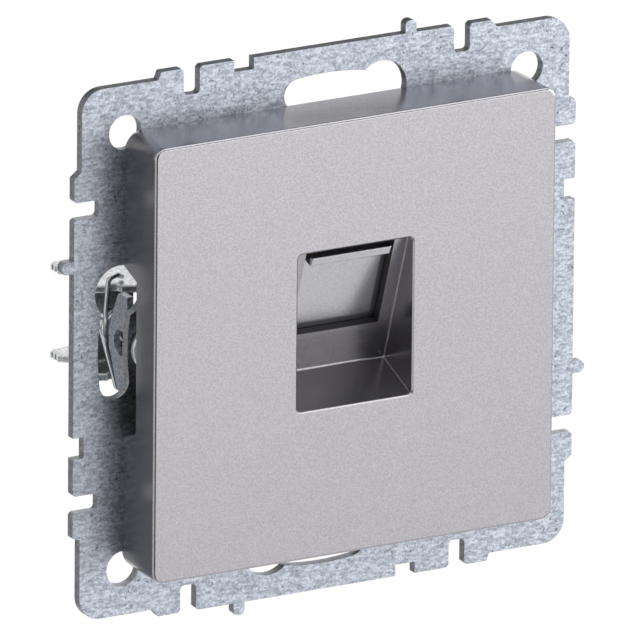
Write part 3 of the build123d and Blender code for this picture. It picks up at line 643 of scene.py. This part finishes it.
bpy.context.scene.world = studio_sky()
print("sky light:", SKY_LIGHT)

# %% [markdown]
# ## Lamps
# A large soft lamp low at the right lights the object at a plain level. From higher up
# it would turn the cover's top and the recess white. A small lamp high at the right
# draws the cover's upper edges, and a faint one at the left draws the plate's.

# %% Soft lamps, facing the object
def soft_lamp(name, place, size, power):
    lamp = bpy.data.lights.new(name, "AREA")
    lamp.shape = "RECTANGLE"
    lamp.size, lamp.size_y = size
    lamp.energy = power
    holder = bpy.data.objects.new(name, lamp)
    holder.location = place
    holder.rotation_euler = Vector(place).to_track_quat("Z", "Y").to_euler()
    bpy.context.scene.collection.objects.link(holder)
    print(f"{name}: {power} W")


soft_lamp("key_lamp", place=(0.90, -0.515, 0.18), size=(0.8, 0.6), power=6.0)
soft_lamp("edge_lamp", place=(0.276, -0.186, 0.498), size=(0.28, 0.28), power=0.24)
soft_lamp("rim_lamp", place=(-0.415, -0.23, -0.155), size=(0.15, 0.40), power=0.16)

# %% [markdown]
# ## Cards beside the lens
# In an all-white studio a metallic object loses its form: every face mirrors white. So
# photographers stand cards beside the lens. The cover's left wall and the recess mirror
# the black card and the dim one below it, by way of the plate and of each other, and go
# dark. The cover's top mirrors the dark card high at the right, and the front mirrors
# the white floor below them. A white card at the right lights the slope below the
# shutter. Two more stand behind the plate, where its slots and notches would let the
# walls mirror white. Only polished surfaces see the cards, and a card's glow is 1 where
# it looks white to them.

# %% The cards, facing the object unless told otherwise
def mirror_card(name, place, size, glow, facing=None):
    turn = Vector(facing or place).to_track_quat("Z", "Y").to_matrix().to_4x4()
    card = flat_sheet(name, size, Matrix.Translation(place) @ turn)
    felt = Finish(
        f"{name}_felt",
        Base_Color=(0.01, 0.01, 0.01, 1),
        Roughness=1.0,
        Emission_Color=(1, 1, 1, 1),
        Emission_Strength=glow,
    )
    dress(card, felt.material)
    card.visible_camera = False
    card.visible_diffuse = False
    card.visible_shadow = False
    print(f"{name}: glows {glow}")


mirror_card("black_card", place=(-0.28, -0.405, -0.07), size=(0.68, 0.80), glow=0.0)
mirror_card("low_card", place=(-0.19, -0.20, -0.31), size=(0.36, 0.32), glow=0.30)
mirror_card("grey_card", place=(0.23, -0.415, 0.175), size=(0.40, 0.24), glow=0.05)
mirror_card("white_card", place=(0.41, -0.80, 0.0), size=(0.50, 0.24), glow=2.6)
mirror_card("back_card", place=(-0.19, 0.415, 0.02), size=(0.50, 0.75), glow=0.28)
mirror_card(
    "flag_card", place=(0.015, 0.022, 0.0805), size=(0.15, 0.08), glow=0.05, facing=(0, 1, 0)
)

# %% [markdown]
# ## Camera
# The photograph was taken from the front left and a little above, from far away, so
# the lines of the plate hardly converge. A long lens at three metres gives the same
# flat view. The camera's axes come from its yaw, its elevation and a small roll, and it
# is moved a little in its own plane, so that the object sits in the frame as it does in
# the photograph.

# %% The photograph's camera
YAW = 0.50614
ELEVATION = 0.31764
ROLL = 0.00896
DISTANCE = 3.02285
MOVED_RIGHT = 0.0000086
MOVED_DOWN = 0.00058
FOCAL_PIXELS = 24315.2
IMAGE_SIDE = 640
SENSOR_WIDTH = 36.0


def photo_camera():
    back = Vector((-sin(YAW) * cos(ELEVATION), -cos(YAW) * cos(ELEVATION), sin(ELEVATION)))
    right = (-back).cross(Vector((0, 0, 1))).normalized()
    up = right.cross(-back)
    turned_right = cos(ROLL) * right + sin(ROLL) * up
    turned_up = cos(ROLL) * up - sin(ROLL) * right
    place = MOVED_RIGHT * turned_right - MOVED_DOWN * turned_up + DISTANCE * back
    camera = bpy.data.cameras.new("camera")
    camera.sensor_width = SENSOR_WIDTH
    camera.lens = FOCAL_PIXELS * SENSOR_WIDTH / IMAGE_SIDE
    camera.clip_start = 0.1
    camera.clip_end = 50.0
    holder = bpy.data.objects.new("camera", camera)
    turn = Matrix((turned_right, turned_up, back)).transposed().to_4x4()
    holder.matrix_world = Matrix.Translation(place) @ turn
    bpy.context.scene.collection.objects.link(holder)
    return holder


bpy.context.scene.camera = photo_camera()
bpy.context.scene.view_settings.view_transform = "Standard"
print("camera:", round(bpy.context.scene.camera.data.lens), "mm lens")
